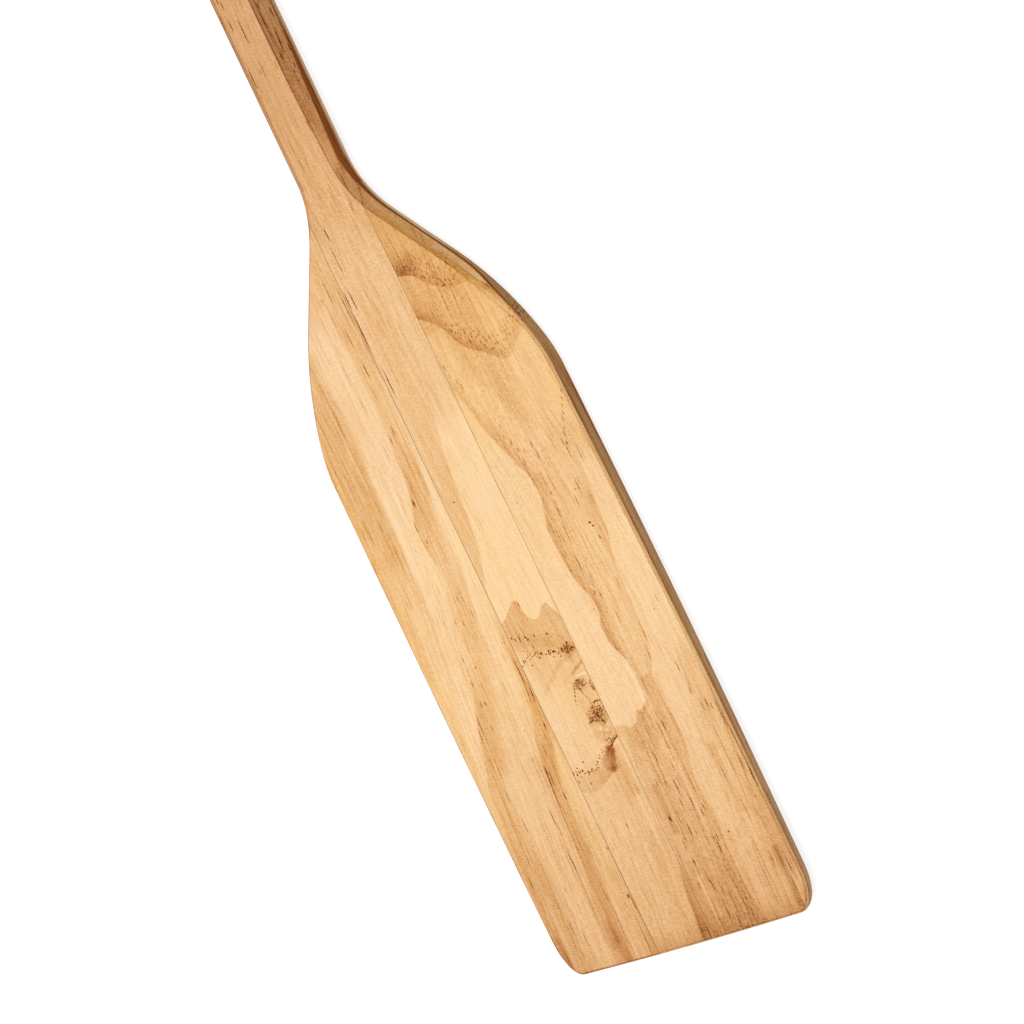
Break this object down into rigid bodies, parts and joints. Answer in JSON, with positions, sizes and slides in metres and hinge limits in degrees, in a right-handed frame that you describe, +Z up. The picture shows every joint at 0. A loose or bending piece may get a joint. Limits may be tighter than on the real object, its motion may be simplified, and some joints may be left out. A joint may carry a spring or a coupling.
{
  "type": "wooden boat paddle",
  "caption": "Straight wooden boat paddle: a glued-up flat blade with sloping shoulders, a chamfered shaft and a flared palm grip.",
  "frame": {"origin": "middle of the paddle's length, on the centre line of the shaft's flat back, which rests on the ground", "axes": "+Y runs along the shaft from the blade's tip towards the grip, +X runs across the blade to its right-hand wing, +Z is up, out of the blade's front face"},
  "size_m": [0.142, 1.22, 0.019],
  "materials": {
    "stave_pine": "straight-grained pine under clear satin varnish",
    "left_wing_pine": "pine with lengthwise bands under clear satin varnish",
    "right_wing_pine": "flat-sawn figured pine under clear satin varnish",
    "grip_pine": "straight-grained pine under clear satin varnish, darker where it is held"
  },
  "bodies": {
    "root": {"shaft_stave": "stave_pine", "left_blade_wing": "left_wing_pine", "right_blade_wing": "right_wing_pine", "left_grip_cheek": "grip_pine", "right_grip_cheek": "grip_pine"}
  },
  "joints": []
}
